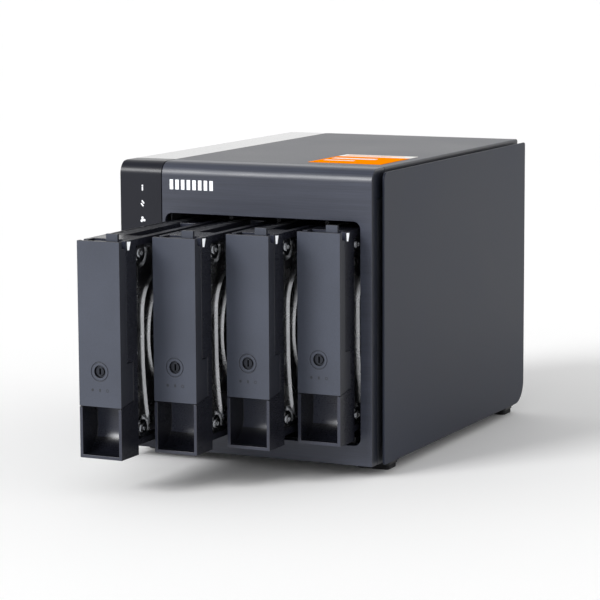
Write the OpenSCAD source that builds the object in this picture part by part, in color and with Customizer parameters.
// Four-bay network attached storage, drawn with its four drive trays fanned out.
// Millimetres, +Z up, the front faces -Y. The origin is on the floor, at the middle of the whole
// object as it stands with its trays drawn out.

/* [Case] */
// Overall width across the two side panels
case_w = 160; // [158:1:164]
// Overall depth, from the bezel's face to the back edge of the side panels
case_d = 219; // [217:1:230]
// Height of the case without its feet
case_h = 160; // [158:1:166]
// Height of the feet
foot_h = 6.5; // [5:0.5:10]
// Radius of the bezel's top front edge
brow_r = 7.5; // [5:0.5:9]
// Radius of the cover's two long top edges
edge_r = 1.2; // [0.8:0.1:3]
// How far the side panels stand out beyond the bezel and the top cover
panel_proud = 4; // [3.5:0.5:5]
// Width of the black strip with the status lights
strip_w = 26; // [25.5:0.5:26]

/* [Drive bays] */
// Distance from one tray's middle to the next
bay_pitch = 29.2; // [28.8:0.1:29.4]
// Middle of the four bays, measured from the middle of the case
bay_x = 10.6; // [10.2:0.1:10.8]
// How far each tray is drawn out, from left to right
tray_out = [100, 72.5, 46, 20.5]; // [0:0.5:120]
// Width of a tray
tray_w = 24.9; // [24.4:0.1:25.6]
// Depth of a tray's front block
block_d = 18; // [17:0.5:18.5]
// Height of the open finger recess at the foot of a tray's front
recess_h = 27; // [24:1:27]

/* [Drives] */
// Width of a 3.5-inch drive, which stands upright here
drive_w = 101.6; // [101.6]
// Length of a 3.5-inch drive
drive_l = 147; // [147]
// Thickness of a 3.5-inch drive
drive_t = 26.1; // [26.1]

/* [Cooling] */
// Size of the square fan
fan_size = 120; // [120]
// Depth of the fan
fan_d = 25; // [25]
// Number of fan blades
fan_blades = 7; // [5:1:9]

/* [Hidden] */
$fn = 48;
eps = 0.01;
gap = 0.3;

// Case, worked out
half_w = case_w / 2 - panel_proud;
top_z = foot_h + case_h;
front_y = (max(tray_out) - case_d) / 2;
strip_x = -half_w + strip_w;
bezel_t = 3;
bezel_side_d = 7;
bezel_top_d = 17;
skirt_h = 16;
skirt_z = top_z - skirt_h;
strip_t = 2;
strip_bed_t = 2;
strip_gap = 0.45;
bed_back_y = strip_t + strip_bed_t;
cover_t = 1.4;
gloss_t = 1.6;
cover_back_y = case_d - 2.5;
sheet_t = 1.2;
panel_front_y = 7.5;
left_panel_front_y = 11;
panel_top_z = top_z - 2;
rim_w = 12;
rear_t = 1.2;
rear_y = case_d - 4;
wall_x = half_w - sheet_t;
chassis_front_y = bezel_side_d + gap;
label_x = [25.5, 69];
label_y = [28.5, 79.5];
label_t = 0.2;

// Feet
foot_x = half_w - 11;
foot_y = [31, case_d - 12];
pad_size = [20, 13];
pad_t = 2.5;

// Bays and cage
bay_count = 4;
bay_w = bay_count * bay_pitch;
opening_x = [bay_x - bay_w / 2 - 0.25, bay_x + bay_w / 2 + 0.25];
opening_z = [foot_h + 10.9, foot_h + 132];
opening_r = 4;
opening_mid_z = (opening_z[0] + opening_z[1]) / 2;
cage_front_y = 8;
cage_plate_t = 2;
cage_wall_t = 1;
cage_rib_t = 2.4;
cage_rib_h = 8;
runner_x = 7;
runner_t = 3;
cage_window_y = [60, 110];
cage_window_l = 30;
roof_rib_y = 22;
backplane_y = 172;
cage_back_y = backplane_y - 0.5;
board_t = 1.6;

// Trays, in their own frame: x from the tray's middle, y from its face, z from its foot
bottom_rail_h = 8.4;
bottom_rail_t = 3.4;
top_rail_h = 3.8;
tray_h = bottom_rail_h + drive_w + top_rail_h;
tray_z = foot_h + 14.1;
tray_half = tray_w / 2;
tray_l = block_d + 1 + drive_l;
tray_wall = 1.8;
strip_slot_x = [-11.2, -3.2];
rail_slot_x = [-1.4, 8.6];
rail_slot_y = [[30, 92], [98, 154]];
strip_y = [26, 160];
strip_pin_y = [35.9, 137.5];
strip_pin_x = -6.7;
strip_pin_r = 1.6;
screw_hole_r = 1.75;
rail_ribs = 14;
rail_rib_pitch = 6.5;
guide_t = 1.6;

// Lever, hinged near the top of the tray's front block
lever_t = 1.8;
lever_wall = 1.3;
lever_side_d = 6.7;
lever_ear_d = 12.8;
lever_ear_top = 50;
lever_ear_foot = 29.7;
lever_hinge = [5, 108];
lever_pin_r = 1.2;
lever_bore_r = 1.26;
lever_pin_in = 9;
bearing_r = 2.6;
tab_x = [1.8, 8.6];
tab_top = 117.3;
core_half = tray_half - lever_wall - 0.5;
core_y = 4.5;
core_top = 101;

// Lock in the lever
lock_z = 46;
lock_r = 3.2;
lock_bore_r = 3.28;
lock_ring_r = 5.2;
lock_boss_r = 2.3;

// Drive, in the tray's frame
drive_y = block_d + 1;
drive_z = bottom_rail_h;
drive_half = drive_t / 2;
case_half = drive_half - board_t;
cover_x = 10;
platter_y = 58.5;
boss_in = [5.5, 4.5];
boss_r = 4.8;
lug_z = [drive_z + 15.5, drive_z + 25];
plug_x = -8;
plug_z = [drive_z + 12, drive_z + 54];
blade_t = 1.2;

// Boards and ports at the left of the cage
main_board_x = -71;
main_post_y = [40, 195];
main_post_z = [foot_h + 22, foot_h + 136];
board_face_x = main_board_x + board_t;
front_board_y = 10;
front_post_x = -68.2;
front_post_z = [foot_h + 14, foot_h + 112];
lamp_x = -62.2;
mark_scale = 0.85;
lamp_z = [foot_h + 145.2, foot_h + 136.6, foot_h + 127.6];
button_z = foot_h + 26;
button_r = 5.4;
lan_z = [foot_h + 62, foot_h + 84];
lan_size = [13.5, 18, 16];
usb_z = [foot_h + 105, foot_h + 124];
usb_size = [7.1, 15, 14.4];
sink_y = 108;
sink_z = foot_h + 82;
reset_z = foot_h + 44;
reset_r = 1.6;
jack_z = foot_h + 24;
jack_r = 3.2;
jack_size = [11, 14, 11];
port_mid_x = board_face_x + jack_size[0] / 2;
anchor_slot = [7, 3];
panel_screw_x = [-60, 68];
panel_screw_z = [foot_h + 6, foot_h + 151];
anchor_z = foot_h + 140;

// Fan
fan_x = bay_x;
fan_z = opening_mid_z;
fan_y = [rear_y - fan_d, rear_y];
fan_bore_r = 57.5;
fan_hub_r = 19;
fan_tip_r = 56;
fan_hole = 52.5;
fan_shaft_r = 1.5;
fan_bearing_r = 1.55;
vent_r = 4.2;
vent_pitch = 9.3;

TRAYS = [0, 1, 2, 3];
CASE_NODES = [
    "front_bezel", "indicator_strip", "indicator_lenses", "power_button", "front_board",
    "top_cover", "top_gloss_strip", "top_label", "left_panel", "right_panel", "chassis",
    "rear_panel", "foot_mounts", "foot_pads", "cage_floor", "cage_roof", "cage_side_walls",
    "backplane_board", "drive_sockets", "main_board", "heat_sink", "lan_ports", "usb_ports",
    "dc_jack", "reset_plunger", "fan_frame", "fan_rotor", "rear_screws"
];

function bay_mid_x(n) = bay_x + (n - (bay_count - 1) / 2) * bay_pitch;

// ---- Shared shapes ----

// A box from its low and high limits on each axis
module block(x, y, z) {
    translate([x[0], y[0], z[0]])
        cube([x[1] - x[0], y[1] - y[0], z[1] - z[0]]);
}

// A flat (x, z) outline pushed along Y
module along_y(y0, y1) {
    translate([0, y1, 0])
        rotate([90, 0, 0])
            linear_extrude(y1 - y0) children();
}

// A flat (y, z) outline pushed along X
module along_x(x0, x1) {
    translate([x0, 0, 0])
        rotate([90, 0, 90])
            linear_extrude(x1 - x0) children();
}

// Round bars along the axes
module rod_x(y, z, r, x0, x1) {
    translate([x0, y, z])
        rotate([0, 90, 0])
            cylinder(r = r, h = x1 - x0);
}

module rod_y(x, z, r, y0, y1) {
    translate([x, y0, z])
        rotate([-90, 0, 0])
            cylinder(r = r, h = y1 - y0);
}

module rod_z(x, y, r, z0, z1) {
    translate([x, y, z0])
        cylinder(r = r, h = z1 - z0);
}

// A rectangle between two limits on each axis, with its own radius at each corner:
// low-left, low-right, high-right, high-left. A radius of 0 leaves the corner square.
module corner_rect(u, v, r) {
    corners = [[u[0], v[0], 1, 1], [u[1], v[0], -1, 1], [u[1], v[1], -1, -1], [u[0], v[1], 1, -1]];
    difference() {
        translate([u[0], v[0]])
            square([u[1] - u[0], v[1] - v[0]]);
        for (i = [0:3])
            if (r[i] > 0)
                translate([corners[i][0], corners[i][1]])
                    flipped(corners[i][2], corners[i][3])
                        difference() {
                            translate([-1, -1]) square(r[i] + 1);
                            translate([r[i], r[i]]) circle(r[i]);
                        }
    }
}

// Turns its child over on each axis whose sign is negative
module flipped(sx, sy) {
    mirror([sx < 0 ? 1 : 0, 0])
        mirror([0, sy < 0 ? 1 : 0])
            children();
}

// Draws its children twice, as they are and mirrored to the other side of x = 0
module both_sides() {
    children();
    mirror([1, 0, 0]) children();
}

module round_rect(u, v, r) {
    corner_rect(u, v, [r, r, r, r]);
}

// Moves a piece of the case from bezel coordinates into the object's frame
module in_case(tint) {
    color(tint)
        translate([0, front_y, 0])
            children();
}

// Moves a piece of tray n from tray coordinates into the object's frame
module in_tray(n, tint) {
    color(tint)
        translate([bay_mid_x(n), front_y - tray_out[n], tray_z])
            children();
}

// ---- Covers ----

// The solid form that the bezel and the top cover wrap, drawn in from their surface
module case_form(inset) {
    intersection() {
        along_y(inset, case_d)
            corner_rect([-half_w + inset, half_w - inset], [foot_h - 1, top_z - inset],
                [0, 0, max(0, edge_r - inset), max(0, edge_r - inset)]);
        along_x(-half_w, half_w)
            corner_rect([inset, case_d], [foot_h - 1, top_z - inset], [0, 0, 0, brow_r - inset]);
    }
}

// The skin between two depths of that form
module skin(outer, inner) {
    difference() {
        case_form(outer);
        case_form(inner);
    }
}

// Where the bezel reaches back: a little at the sides and foot, further under the top
module bezel_zone() {
    block([-half_w - 1, half_w + 1], [-1, bezel_side_d], [foot_h, top_z + 1]);
    block([-half_w - 1, half_w + 1], [-1, bezel_top_d], [skirt_z, top_z + 1]);
}

// Where the top cover lies, behind the bezel
module cover_zone() {
    block([-half_w - 1, half_w + 1], [bezel_top_d + gap, cover_back_y], [skirt_z, top_z + 1]);
}

module left_of(x) {
    block([-case_w, x], [-1, case_d + 1], [0, top_z + 2]);
}

module right_of(x) {
    block([x, case_w], [-1, case_d + 1], [0, top_z + 2]);
}

module front_bezel() {
    in_case("#44474f") difference() {
        union() {
            intersection() {
                skin(0, bezel_t);
                bezel_zone();
                right_of(strip_x);
            }
            intersection() {
                skin(strip_t, strip_t + strip_bed_t);
                bezel_zone();
                left_of(strip_x + 1);
            }
            // lip under the bays
            block([-half_w + strip_t, half_w], [strip_t, bezel_side_d], [foot_h, foot_h + bezel_t]);
            // posts that carry the front board
            for (z = front_post_z)
                rod_y(front_post_x, z, 2.5, strip_t + 1, front_board_y);
        }
        along_y(-1, bezel_top_d)
            round_rect(opening_x, opening_z, opening_r);
        rod_y(lamp_x, button_z, button_r + gap, -1, bezel_side_d);
        block([lamp_x - 3.5, lamp_x + 3.5], [-1, bezel_side_d], [lamp_z[2] - 3.5, lamp_z[0] + 3.5]);
    }
}

// Small generic marks: a dot over a bar, two slanted bars, three blades
module mark_status() {
    translate([0, 1.5]) circle(0.55);
    translate([-0.45, -1.8]) square([0.9, 2.6]);
}

module mark_link() {
    for (side = [-1, 1])
        rotate(40)
            translate([side * 0.8, 0])
                round_rect([-0.5, 0.5], [side * 0.5 - 1.3, side * 0.5 + 1.3], 0.45);
}

module mark_fan() {
    circle(0.6);
    for (turn = [90, 210, 330])
        rotate(turn)
            translate([1.15, 0.25])
                circle(0.85);
}

module lamp_marks(y0, y1) {
    translate([lamp_x, 0, lamp_z[0]]) along_y(y0, y1) scale(mark_scale) mark_status();
    translate([lamp_x, 0, lamp_z[1]]) along_y(y0, y1) scale(mark_scale) mark_link();
    translate([lamp_x, 0, lamp_z[2]]) along_y(y0, y1) scale(mark_scale) mark_fan();
}

module indicator_strip() {
    in_case("#26282e") difference() {
        intersection() {
            skin(0, strip_t);
            bezel_zone();
            left_of(strip_x - strip_gap);
        }
        lamp_marks(-1, strip_t + 1);
        rod_y(lamp_x, button_z, button_r + gap, -1, strip_t + 1);
    }
}

// Light pipe whose front ends fill the marks in the strip
module indicator_lenses() {
    in_case("#e8ebf0") {
        lamp_marks(0, strip_t);
        block([lamp_x - 3, lamp_x + 3], [strip_t, front_board_y - 1.6],
            [lamp_z[2] - 3, lamp_z[0] + 3]);
    }
}

module power_button() {
    in_case("#2c2e34") {
        rod_y(lamp_x, button_z, button_r, 0, front_board_y - 2.4);
        rod_y(lamp_x, button_z, button_r + 1.4, bed_back_y + 0.2, bed_back_y + 1.4);
    }
}

// Small board behind the strip: the power switch and the three lamps
module front_board() {
    in_case("#1f5b38") difference() {
        union() {
            block([lamp_x - 9, lamp_x + 8], [front_board_y, front_board_y + board_t],
                [foot_h + 8, foot_h + 152]);
            block([lamp_x - 3, lamp_x + 3], [front_board_y - 0.7, front_board_y],
                [button_z - 3, button_z + 3]);
            for (z = lamp_z)
                block([lamp_x - 1.6, lamp_x + 1.6], [front_board_y - 1.4, front_board_y], [z - 0.9, z + 0.9]);
        }
        for (z = front_post_z)
            rod_y(front_post_x, z, 1.5, front_board_y - 1, front_board_y + 3);
    }
}

module top_cover() {
    in_case("#5b5e65") {
        intersection() {
            skin(0, cover_t);
            cover_zone();
            right_of(strip_x);
        }
        intersection() {
            skin(gloss_t, gloss_t + cover_t);
            cover_zone();
            left_of(strip_x + 1);
        }
        block([strip_x, strip_x + 1], [bezel_top_d + gap, cover_back_y],
            [top_z - gloss_t - cover_t, top_z - cover_t + eps]);
    }
}

module top_gloss_strip() {
    in_case("#17181b") intersection() {
        skin(0, gloss_t);
        cover_zone();
        left_of(strip_x - strip_gap);
    }
}

module top_label() {
    in_case("#ff9f1a")
        block(label_x, label_y, [top_z, top_z + label_t]);
}

// Outer sheet with a rebated rim, so that a dark gap shows all round its inside
module side_panel(side, y0) {
    x_in = half_w;
    x_mid = case_w / 2 - sheet_t;
    x_out = case_w / 2;
    mirror([side < 0 ? 1 : 0, 0, 0]) {
        along_x(x_mid, x_out)
            corner_rect([y0, case_d], [foot_h, panel_top_z], [2, 13, 1.5, 4]);
        along_x(x_in, x_mid + eps)
            round_rect([y0 + rim_w, case_d - rim_w], [foot_h + rim_w, skirt_z - gap], 5);
    }
}

module left_panel() {
    in_case("#484b53") side_panel(-1, left_panel_front_y);
}

module right_panel() {
    in_case("#484b53") side_panel(1, panel_front_y);
}

// ---- Chassis ----

module chassis() {
    in_case("#3a3c42") {
        difference() {
            block([-half_w, half_w], [chassis_front_y, rear_y + rear_t], [foot_h, skirt_z - gap]);
            block([-wall_x, wall_x], [chassis_front_y - 1, case_d], [foot_h + sheet_t, top_z]);
            // air slots in the floor
            for (x = [-30:10:60])
                block([x - 2, x + 2], [110, 150], [foot_h - 1, foot_h + 2]);
        }
        for (y = main_post_y, z = main_post_z)
            rod_x(y, z, 3, -wall_x - eps, main_board_x);
    }
}

module vent_field() {
    rows = ceil(fan_bore_r / (vent_pitch * sin(60)));
    for (row = [-rows:rows], col = [-rows:rows]) {
        x = (col + (row % 2 == 0 ? 0 : 0.5)) * vent_pitch;
        z = row * vent_pitch * sin(60);
        if (norm([x, z]) < fan_bore_r - vent_r - 1)
            translate([x, z])
                rotate(30)
                    circle(vent_r, $fn = 6);
    }
}

// Its outline steps in round the cover's skirts and the gloss strip's bed
module rear_outline() {
    z0 = foot_h + sheet_t + 0.2;
    x1 = wall_x - 0.4;
    polygon([
        [-wall_x + 0.2, z0], [x1, z0], [x1, top_z - cover_t - 0.2], [strip_x + 1.2, top_z - cover_t - 0.2],
        [strip_x + 1.2, top_z - gloss_t - cover_t - 0.2],
        [-half_w + gloss_t + cover_t + 0.2, top_z - gloss_t - cover_t - 0.2],
        [-half_w + gloss_t + cover_t + 0.2, skirt_z - gap], [-wall_x + 0.2, skirt_z - gap]
    ]);
}

module port_window(z, size) {
    room = 0.2;
    block([board_face_x - room, board_face_x + size[0] + room], [rear_y - 1, rear_y + 2],
        [z - size[2] / 2 - room, z + size[2] / 2 + room]);
}

module rear_panel() {
    in_case("#3d3f46") difference() {
        along_y(rear_y, rear_y + rear_t) rear_outline();
        translate([fan_x, 0, fan_z])
            along_y(rear_y - 1, rear_y + 2) vent_field();
        for (x = [-1, 1], z = [-1, 1])
            rod_y(fan_x + x * fan_hole, fan_z + z * fan_hole, 2.2, rear_y - 1, rear_y + 2);
        for (z = lan_z)
            port_window(z, lan_size);
        for (z = usb_z)
            port_window(z, usb_size);
        rod_y(port_mid_x, reset_z, 1.1, rear_y - 1, rear_y + 2);
        rod_y(port_mid_x, jack_z, jack_r + 1.2, rear_y - 1, rear_y + 2);
        block([port_mid_x - anchor_slot[1] / 2, port_mid_x + anchor_slot[1] / 2],
            [rear_y - 1, rear_y + 2],
            [anchor_z - anchor_slot[0] / 2, anchor_z + anchor_slot[0] / 2]);
    }
}

// Fan screws and the panel's own screws, heads outside
module rear_screws() {
    in_case("#6d7078") {
        for (x = [-1, 1], z = [-1, 1])
            panel_screw(fan_x + x * fan_hole, fan_z + z * fan_hole, 2.15);
        for (x = panel_screw_x, z = panel_screw_z)
            panel_screw(x, z, 0);
    }
}

module panel_screw(x, z, shank_r) {
    difference() {
        union() {
            rod_y(x, z, 3.6, rear_y + rear_t, rear_y + rear_t + 1.6);
            if (shank_r > 0)
                rod_y(x, z, shank_r, rear_y - 3, rear_y + rear_t + eps);
        }
        for (turn = [0, 90])
            translate([x, 0, z])
                rotate([0, turn, 0])
                    block([-2, 2], [rear_y + rear_t + 0.8, rear_y + rear_t + 3], [-0.45, 0.45]);
    }
}

// ---- Feet ----

module foot_places() {
    for (x = [-foot_x, foot_x], y = foot_y)
        translate([x, y, 0]) children();
}

module foot_slab(grow, z0, z1) {
    size = pad_size + [grow, grow];
    translate([0, 0, z0])
        linear_extrude(z1 - z0)
            round_rect([-size[0] / 2, size[0] / 2], [-size[1] / 2, size[1] / 2], 2);
}

module foot_mounts() {
    in_case("#1d1e21") foot_places() {
        foot_slab(1.6, foot_h - 2.5, foot_h);
        foot_slab(0, pad_t, foot_h - 2.5 + eps);
    }
}

module foot_pads() {
    in_case("#141416") foot_places() foot_slab(-1, 0, pad_t);
}

// ---- Drive cage ----

module cage_floor() {
    z0 = opening_z[0] - cage_plate_t;
    step_y = block_d + 2;
    rail_z = tray_z + bottom_rail_h - bottom_rail_t;
    in_case("#2b2d33") {
        difference() {
            block(opening_x, [cage_front_y, cage_back_y], [z0, opening_z[0]]);
            for (n = TRAYS, y = cage_window_y)
                block([bay_mid_x(n) - 4, bay_mid_x(n) + 4], [y, y + cage_window_l],
                    [z0 - 1, opening_z[0] + 1]);
        }
        bay_ribs([cage_front_y, cage_back_y], [z0, opening_z[0] + cage_rib_h]);
        // two runners under each tray: low below its front block, high below its rail
        for (n = TRAYS)
            translate([bay_mid_x(n), 0, 0])
                both_sides() {
                    block([runner_x - runner_t / 2, runner_x + runner_t / 2],
                        [cage_front_y, cage_back_y], [z0, tray_z - gap]);
                    block([runner_x - runner_t / 2, runner_x + runner_t / 2],
                        [step_y, cage_back_y], [z0, rail_z - gap]);
                }
        // standoffs on the chassis floor
        for (x = [opening_x[0] + 6, opening_x[1] - 6], y = [cage_front_y + 12, cage_back_y - 20])
            rod_z(x, y, 4, foot_h + sheet_t, z0 + eps);
    }
}

// Ribs that keep neighbouring trays apart
module bay_ribs(y, z) {
    for (n = [1:bay_count - 1]) {
        x = bay_mid_x(n) - bay_pitch / 2;
        block([x - cage_rib_t / 2, x + cage_rib_t / 2], y, z);
    }
}

module cage_roof() {
    z1 = opening_z[1] + cage_plate_t;
    in_case("#2b2d33") {
        difference() {
            block(opening_x, [cage_front_y, cage_back_y], [opening_z[1], z1]);
            for (n = TRAYS, y = cage_window_y)
                block([bay_mid_x(n) - 8, bay_mid_x(n) + 8], [y, y + cage_window_l],
                    [opening_z[1] - 1, z1 + 1]);
        }
        bay_ribs([roof_rib_y, cage_back_y], [opening_z[1] - cage_rib_h + 1, z1]);
    }
}

module cage_side_walls() {
    in_case("#8b8e94")
        for (x = [opening_x[0] - cage_wall_t, opening_x[1]])
            difference() {
                block([x, x + cage_wall_t], [cage_front_y, cage_back_y],
                    [opening_z[0] - cage_plate_t, opening_z[1] + cage_plate_t]);
                for (y = [40:30:130])
                    block([x - 1, x + 2], [y, y + 18], [foot_h + 40, foot_h + 105]);
            }
}

// Upright board behind the drives, with air holes and a tab that plugs into the main board
module backplane_board() {
    in_case("#1f5b38") {
        difference() {
            block(opening_x, [backplane_y, backplane_y + board_t],
                [opening_z[0] + 2, opening_z[1] - 2]);
            for (n = TRAYS)
                block([bay_mid_x(n) - 1, bay_mid_x(n) + 11], [backplane_y - 1, backplane_y + 3],
                    [foot_h + 30, foot_h + 118]);
            for (x = [opening_x[0] + 4, opening_x[1] - 4], z = [opening_z[0] + 6, opening_z[1] - 6])
                rod_y(x, z, 1.7, backplane_y - 1, backplane_y + 3);
        }
        block([board_face_x + 3, opening_x[0] + eps], [backplane_y, backplane_y + board_t],
            [foot_h + 55, foot_h + 100]);
    }
}

module drive_sockets() {
    in_case("#101113")
        for (n = TRAYS)
            translate([bay_mid_x(n), 0, tray_z])
                difference() {
                    block([plug_x - 3, plug_x + 3], [block_d + 1 + drive_l - 5.5, backplane_y],
                        [plug_z[0] - 1, plug_z[1] + 1]);
                    block([plug_x - blade_t / 2 - gap, plug_x + blade_t / 2 + gap],
                        [block_d, backplane_y - 4],
                        [plug_z[0] + 0.7, plug_z[1] - 0.7]);
                }
}

// ---- Main board and ports ----

module main_board() {
    in_case("#1f5b38") {
        difference() {
            block([main_board_x, board_face_x], [24, rear_y - 0.5], [foot_h + 14, foot_h + 144]);
            for (y = main_post_y, z = main_post_z)
                rod_x(y, z, 1.6, main_board_x - 1, board_face_x + 1);
        }
        // body of the reset switch
        difference() {
            block([board_face_x, port_mid_x + 4], [rear_y - 12, rear_y - 4], [reset_z - 4, reset_z + 4]);
            rod_y(port_mid_x, reset_z, reset_r + 0.05, rear_y - 10, rear_y);
        }
        // slot that takes the backplane's tab
        difference() {
            block([board_face_x, board_face_x + 9], [backplane_y - 3, backplane_y + board_t + 3],
                [foot_h + 53, foot_h + 102]);
            block([board_face_x + 2.8, board_face_x + 10], [backplane_y - 0.15, backplane_y + board_t + 0.15],
                [foot_h + 54.8, foot_h + 100.2]);
        }
    }
}

module heat_sink() {
    size = 40;
    chip_size = 20;
    fin_count = 9;
    fin_t = 1.6;
    fin_pitch = (size - fin_t) / (fin_count - 1);
    in_case("#a9adb3") translate([board_face_x, sink_y, sink_z]) {
        // the chip under it, the base plate and the fins
        block([0, 1.5 + eps], [-chip_size / 2, chip_size / 2], [-chip_size / 2, chip_size / 2]);
        block([1.5, 4], [-size / 2, size / 2], [-size / 2, size / 2]);
        for (i = [0:fin_count - 1])
            translate([0, i * fin_pitch - size / 2, 0])
                block([4 - eps, 14], [0, fin_t], [-size / 2, size / 2]);
    }
}

module port_shell(z, size) {
    block([board_face_x, board_face_x + size[0]], [rear_y - size[1], rear_y + rear_t + 0.4],
        [z - size[2] / 2, z + size[2] / 2]);
}

module lan_ports() {
    in_case("#b9bcc2")
        for (z = lan_z)
            difference() {
                port_shell(z, lan_size);
                block([board_face_x + 2.2, board_face_x + 10.4], [rear_y - 12, rear_y + 5],
                    [z - 5.9, z + 5.9]);
                block([board_face_x + 10.3, board_face_x + 12.3], [rear_y - 12, rear_y + 5], [z - 3, z + 3]);
            }
}

module usb_ports() {
    in_case("#b9bcc2")
        for (z = usb_z)
            difference() {
                port_shell(z, usb_size);
                difference() {
                    block([board_face_x + 1, board_face_x + 6.1], [rear_y - 10, rear_y + 5],
                        [z - 6.25, z + 6.25]);
                    block([board_face_x + 3.8, board_face_x + 5.7], [rear_y - 12, rear_y - 0.5],
                        [z - 5.5, z + 5.5]);
                }
            }
}

// Round low-voltage inlet: a barrel with a centre pin
module dc_jack() {
    in_case("#121316") {
        difference() {
            union() {
                block([board_face_x, board_face_x + jack_size[0]], [rear_y - jack_size[1], rear_y - 0.2],
                    [jack_z - jack_size[2] / 2, jack_z + jack_size[2] / 2]);
                rod_y(port_mid_x, jack_z, jack_r + 1, rear_y - 1, rear_y + rear_t + 0.4);
            }
            rod_y(port_mid_x, jack_z, jack_r, rear_y - 9, rear_y + 5);
        }
        rod_y(port_mid_x, jack_z, 1.25, rear_y - 10, rear_y);
    }
}

// Switch plunger behind the pinhole, reached with a pin
module reset_plunger() {
    in_case("#d9d9d9") {
        rod_y(port_mid_x, reset_z, reset_r, rear_y - 9, rear_y - 1);
    }
}

// ---- Fan ----

module fan_frame() {
    side = fan_size / 2;
    hub_back = fan_y[1] - 3;
    in_case("#18191b") {
        difference() {
            translate([fan_x, 0, fan_z])
                along_y(fan_y[0], fan_y[1]) round_rect([-side, side], [-side, side], 5);
            rod_y(fan_x, fan_z, fan_bore_r, fan_y[0] - 1, fan_y[1] + 1);
            for (x = [-1, 1], z = [-1, 1])
                rod_y(fan_x + x * fan_hole, fan_z + z * fan_hole, 2.2, fan_y[0] - 1, fan_y[1] + 1);
        }
        difference() {
            union() {
                rod_y(fan_x, fan_z, fan_hub_r, hub_back, fan_y[1]);
                rod_y(fan_x, fan_z, 5, fan_y[0] + 8, hub_back + eps);
                for (turn = [45:90:315])
                    translate([fan_x, 0, fan_z])
                        rotate([0, turn, 0])
                            block([fan_hub_r - 1, fan_bore_r + 1], [hub_back, fan_y[1]], [-2, 2]);
            }
            rod_y(fan_x, fan_z, fan_bearing_r, fan_y[0] + 7, fan_y[1] - 1.5);
        }
    }
}

module fan_rotor() {
    y0 = fan_y[0] + 1;
    y1 = fan_y[1] - 3.6;
    in_case("#1c1d20") translate([fan_x, 0, fan_z]) {
        difference() {
            rod_y(0, 0, fan_hub_r, y0, y1);
            rod_y(0, 0, fan_hub_r - 2, y0 + 3, y1 + 1);
        }
        rod_y(0, 0, fan_shaft_r, y0 + 2, fan_y[1] - 2);
        for (i = [0:fan_blades - 1])
            intersection() {
                rotate([0, i * 360 / fan_blades, 0])
                    translate([0, (y0 + y1) / 2, 0])
                        rotate([38, 0, 0])
                            block([fan_hub_r - 3, fan_tip_r + 2], [-16, 16], [-0.9, 0.9]);
                difference() {
                    rod_y(0, 0, fan_tip_r, y0 + 1, y1);
                    rod_y(0, 0, fan_hub_r - 0.5, y0, y1 + 1);
                }
            }
    }
}

// ---- Trays ----

// The finger recess: straight at the top, with a coved back and floor
module recess_hollow() {
    cove_r = 12.5;
    along_x(-tray_half + tray_wall, tray_half - tray_wall) {
        translate([-1, tray_wall]) square([4, recess_h]);
        translate([-1, tray_wall + cove_r]) square([4 + cove_r, recess_h - cove_r + 2]);
        intersection() {
            translate([3, tray_wall + cove_r]) circle(cove_r);
            translate([0, tray_wall]) square([20, cove_r + 1]);
        }
    }
}

// Flat rail over or under the drive, with a slot for the strip and two that lighten it
module tray_rail(z) {
    difference() {
        block([-tray_half, tray_half], [block_d - eps, tray_l], z);
        block(strip_slot_x, [strip_y[0] - 0.2, strip_y[1] + 0.2], [z[0] - 1, z[1] + 1]);
        for (y = rail_slot_y)
            block(rail_slot_x, y, [z[0] - 1, z[1] + 1]);
    }
}

// Outline of the light guide on the tray's right cheek
module guide_outline() {
    polygon([[8.4, 113.2], [12.2, 112.9], [10.6, 108.6], [8.8, 108.8]]);
}

module tray_carrier(n) {
    in_tray(n, "#35373e") {
        difference() {
            union() {
                // finger recess box and the slab behind it
                block([-tray_half, tray_half], [0, block_d], [0, recess_h]);
                block([-tray_half, tray_half], [lever_ear_d + gap, block_d], [recess_h - 1, tray_h]);
                // wedges that follow the slanted feet of the lever's sides, and cheeks flush with them
                both_sides()
                    along_x(tray_half - lever_wall, tray_half)
                        polygon([
                            [0, recess_h - 1], [lever_ear_d + gap, recess_h - 1],
                            [lever_ear_d + gap, lever_ear_foot - gap], [0, recess_h]
                        ]);
                both_sides()
                    block([core_half - 1, tray_half], [lever_side_d + gap, block_d],
                        [lever_ear_top + gap, tray_h]);
                // hollow core that the lever closes over
                block([-core_half, core_half], [core_y, block_d], [recess_h - 1, core_top]);
                // bearing arms for the lever's pins
                both_sides() {
                    rod_x(lever_hinge[0], lever_hinge[1], bearing_r, core_half - bearing_r, core_half);
                    block([core_half - bearing_r, core_half], [lever_hinge[0], block_d],
                        [lever_hinge[1] - bearing_r, lever_hinge[1]]);
                }
            }
            recess_hollow();
            block([-core_half + 1.8, core_half - 1.8], [-1, 15.5], [recess_h - 2, core_top - 2]);
            both_sides()
                rod_x(lever_hinge[0], lever_hinge[1], lever_bore_r, core_half - 4, core_half + 2);
            along_x(tray_half - guide_t, tray_half + 1) guide_outline();
            // air windows through the core
            for (z = [38:14:94])
                block([-7, 7], [0, block_d + 1], [z, z + 7]);
        }
        tray_rail([tray_h - top_rail_h, tray_h]);
        tray_rail([bottom_rail_h - bottom_rail_t, bottom_rail_h]);
    }
}

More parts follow.
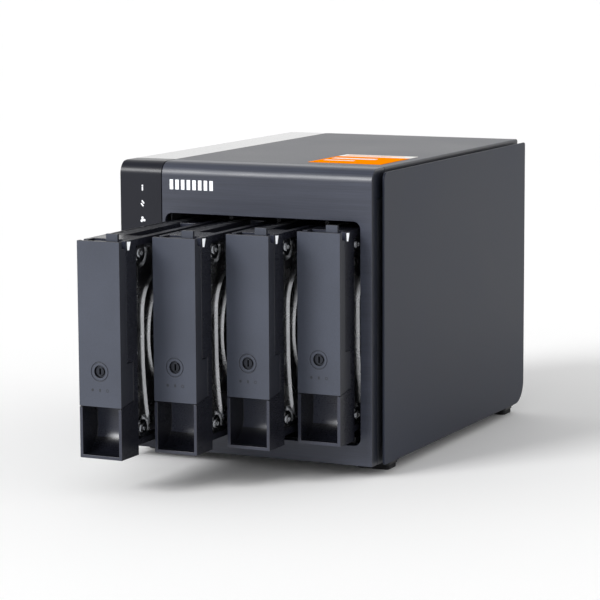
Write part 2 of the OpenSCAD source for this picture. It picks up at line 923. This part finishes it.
module tray_strips(n) {
    top = [tray_h - top_rail_h, tray_h - 0.3];
    foot = [bottom_rail_h - bottom_rail_t + 0.2, bottom_rail_h];
    x = [strip_slot_x[0] + 0.2, strip_slot_x[1] - 0.2];
    in_tray(n, "#2f3137") {
        difference() {
            block(x, strip_y, top);
            for (i = [0:rail_ribs - 1])
                translate([0, 40 + i * rail_rib_pitch, 0])
                    block([x[0] + 1, x[1] - 1], [0, 2.5], [tray_h - 1, tray_h + 1]);
        }
        block(x, strip_y, foot);
        for (y = strip_pin_y) {
            rod_z(strip_pin_x, y, strip_pin_r, tray_h - top_rail_h - 1.8, top[0] + 1);
            rod_z(strip_pin_x, y, strip_pin_r, foot[1] - 1, bottom_rail_h + 1.8);
        }
    }
}

// Side wall of the lever: deep at the lock, shallow above, cut back round the hinge
module lever_side_outline() {
    polygon([
        [0, recess_h + 0.4], [lever_ear_d, lever_ear_foot], [lever_ear_d, lever_ear_top],
        [lever_side_d, lever_ear_top], [lever_side_d, lever_hinge[1] - 2], [3, lever_hinge[1] + 2],
        [3, tray_h], [0, tray_h]
    ]);
    translate(lever_hinge) circle(1.7);
}

module tray_lever(n) {
    in_tray(n, "#575b64") {
        difference() {
            union() {
                block([-tray_half, tray_half], [0, lever_t], [recess_h + 0.4, tray_h]);
                both_sides() {
                    along_x(tray_half - lever_wall, tray_half) lever_side_outline();
                    rod_x(lever_hinge[0], lever_hinge[1], lever_pin_r, lever_pin_in, tray_half - 0.5);
                }
                // latch tab, standing on a bridge behind the plate's top edge
                block([tab_x[0] - 5, tab_x[1]], [lever_t - eps, 3.4], [tray_h - 3, tray_h]);
                block(tab_x, [3.4 - eps, 7.2], [tray_h - 2.2, tray_h - 0.8]);
                block(tab_x, [5.4, 7.2], [tray_h - 2.2, tab_top]);
                // sleeve for the lock
                rod_y(0, lock_z, lock_ring_r, lever_t - eps, 6.4);
            }
            rod_y(0, lock_z, lock_bore_r, -1, 8);
            // fine groove round the lock
            difference() {
                rod_y(0, lock_z, lock_ring_r, -1, 0.35);
                rod_y(0, lock_z, lock_ring_r - 0.5, -2, 1);
            }
        }
    }
}

// Barrel with a raised key boss in front and a cam behind
module tray_lock(n) {
    in_tray(n, "#1b1c1f") difference() {
        union() {
            rod_y(0, lock_z, lock_r, 1.1, 7.6);
            rod_y(0, lock_z, lock_boss_r, 0.3, 1.1 + eps);
            block([-1.6, 1.6], [6.7, 8.2], [lock_z - 2, lock_z + 7.5]);
        }
        block([-0.45, 0.45], [0, 1.9], [lock_z - 1.7, lock_z + 1.7]);
    }
}

module tray_light_guide(n) {
    in_tray(n, "#f2f4f6")
        along_x(tray_half - guide_t, tray_half) guide_outline();
}

// ---- Drives ----

module drive_outline(inset, r) {
    round_rect([drive_y + inset, drive_y + drive_l - inset], [drive_z + inset, drive_z + drive_w - inset], r);
}

// The four corner screws of the cover, as (y, z)
function cover_screws() = [
    for (y = [boss_in[0], drive_l - boss_in[0]], z = [boss_in[1], drive_w - boss_in[1]])
        [drive_y + y, drive_z + z]
];

module drive_case(n) {
    boss_x = cover_x + 1.3;
    in_tray(n, "#9a9da2") difference() {
        union() {
            along_x(-case_half, cover_x) drive_outline(0, 2.5);
            along_x(-drive_half, -case_half + eps)
                corner_rect([drive_y, drive_y + 70], [drive_z, drive_z + drive_w], [2.5, 0, 0, 2.5]);
            // corner bosses with the screws that hold the cover down
            for (place = cover_screws()) {
                along_x(cover_x - eps, boss_x)
                    intersection() {
                        translate(place) circle(boss_r);
                        drive_outline(0, 2.5);
                    }
                rod_x(place[0], place[1], 2.5, boss_x - eps, boss_x + 0.7);
            }
        }
        for (place = cover_screws())
            rod_x(place[0], place[1], 1.2, boss_x - 0.3, boss_x + 1);
        // notches either side of a small lug on the front edge
        for (z = lug_z)
            block([cover_x - 5, cover_x + 1], [drive_y - 1, drive_y + 3.2], [z, z + 2.6]);
        // hub recess under the platters, and the well round the plug
        rod_x(drive_y + platter_y, drive_z + drive_w / 2, 14, -drive_half - 1, -drive_half + 1.2);
        block([-case_half - 1, plug_x + 4], [drive_y + drive_l - 8, drive_y + drive_l + 1],
            [plug_z[0] - 2.5, plug_z[1] + 2.5]);
        for (y = strip_pin_y) {
            rod_z(strip_pin_x, y, screw_hole_r, drive_z - 1, drive_z + 3);
            rod_z(strip_pin_x, y, screw_hole_r, drive_z + drive_w - 3, drive_z + drive_w + 1);
        }
    }
}

// First raised level of the cover: bowed at the front, cut back at the rear corners
module cover_step_outline() {
    mid = drive_w / 2;
    front = 6.6;
    crown = [for (a = [180:-11:125]) [front + 22 + 22 * cos(a), mid + 14 + 22 * sin(a)]];
    bow = [for (a = [194:-3.5:180]) [front + 175 + 175 * cos(a), mid - 2 + 175 * sin(a)]];
    rear = [[62, mid + 43], [126, mid + 40], [138, mid + 28], [138, mid - 30], [126, mid - 42]];
    translate([drive_y, drive_z]) polygon(concat(bow, crown, rear));
}

// Stepped steel cover: a plate notched round its corner screws, and two raised levels
module drive_cover(n) {
    in_tray(n, "#c3c6ca") {
        along_x(cover_x, cover_x + 1.2)
            difference() {
                drive_outline(2.2, 4);
                for (place = cover_screws())
                    translate(place) circle(boss_r + 2.4);
            }
        along_x(cover_x + 1.2 - eps, cover_x + 2.2)
            cover_step_outline();
        along_x(cover_x + 1.2 - eps, drive_half)
            intersection() {
                translate([drive_y + platter_y, drive_z + drive_w / 2 + 1]) circle(47);
                drive_outline(4, 2);
            }
    }
}

module drive_board(n) {
    y1 = drive_y + drive_l;
    in_tray(n, "#1f5b38") {
        block([-drive_half, -case_half], [drive_y + 70, y1 - 1], [drive_z + 4, drive_z + drive_w - 4]);
        // plug body and its contact blade
        block([-case_half - eps, plug_x + 3.5], [y1 - 8, y1 - 6.6], [plug_z[0] - 2, plug_z[1] + 2]);
        block([plug_x - blade_t / 2, plug_x + blade_t / 2], [y1 - 6.6 - eps, y1],
            [plug_z[0] + 1, plug_z[1] - 1]);
    }
}

// ---- Drawing ----

front_bezel();
indicator_strip();
indicator_lenses();
power_button();
front_board();
top_cover();
top_gloss_strip();
top_label();
left_panel();
right_panel();
chassis();
rear_panel();
foot_mounts();
foot_pads();
cage_floor();
cage_roof();
cage_side_walls();
backplane_board();
drive_sockets();
main_board();
heat_sink();
lan_ports();
usb_ports();
dc_jack();
reset_plunger();
fan_frame();
fan_rotor();
rear_screws();
for (n = TRAYS) {
    tray_carrier(n);
    tray_strips(n);
    tray_lever(n);
    tray_lock(n);
    tray_light_guide(n);
    drive_case(n);
    drive_cover(n);
    drive_board(n);
}
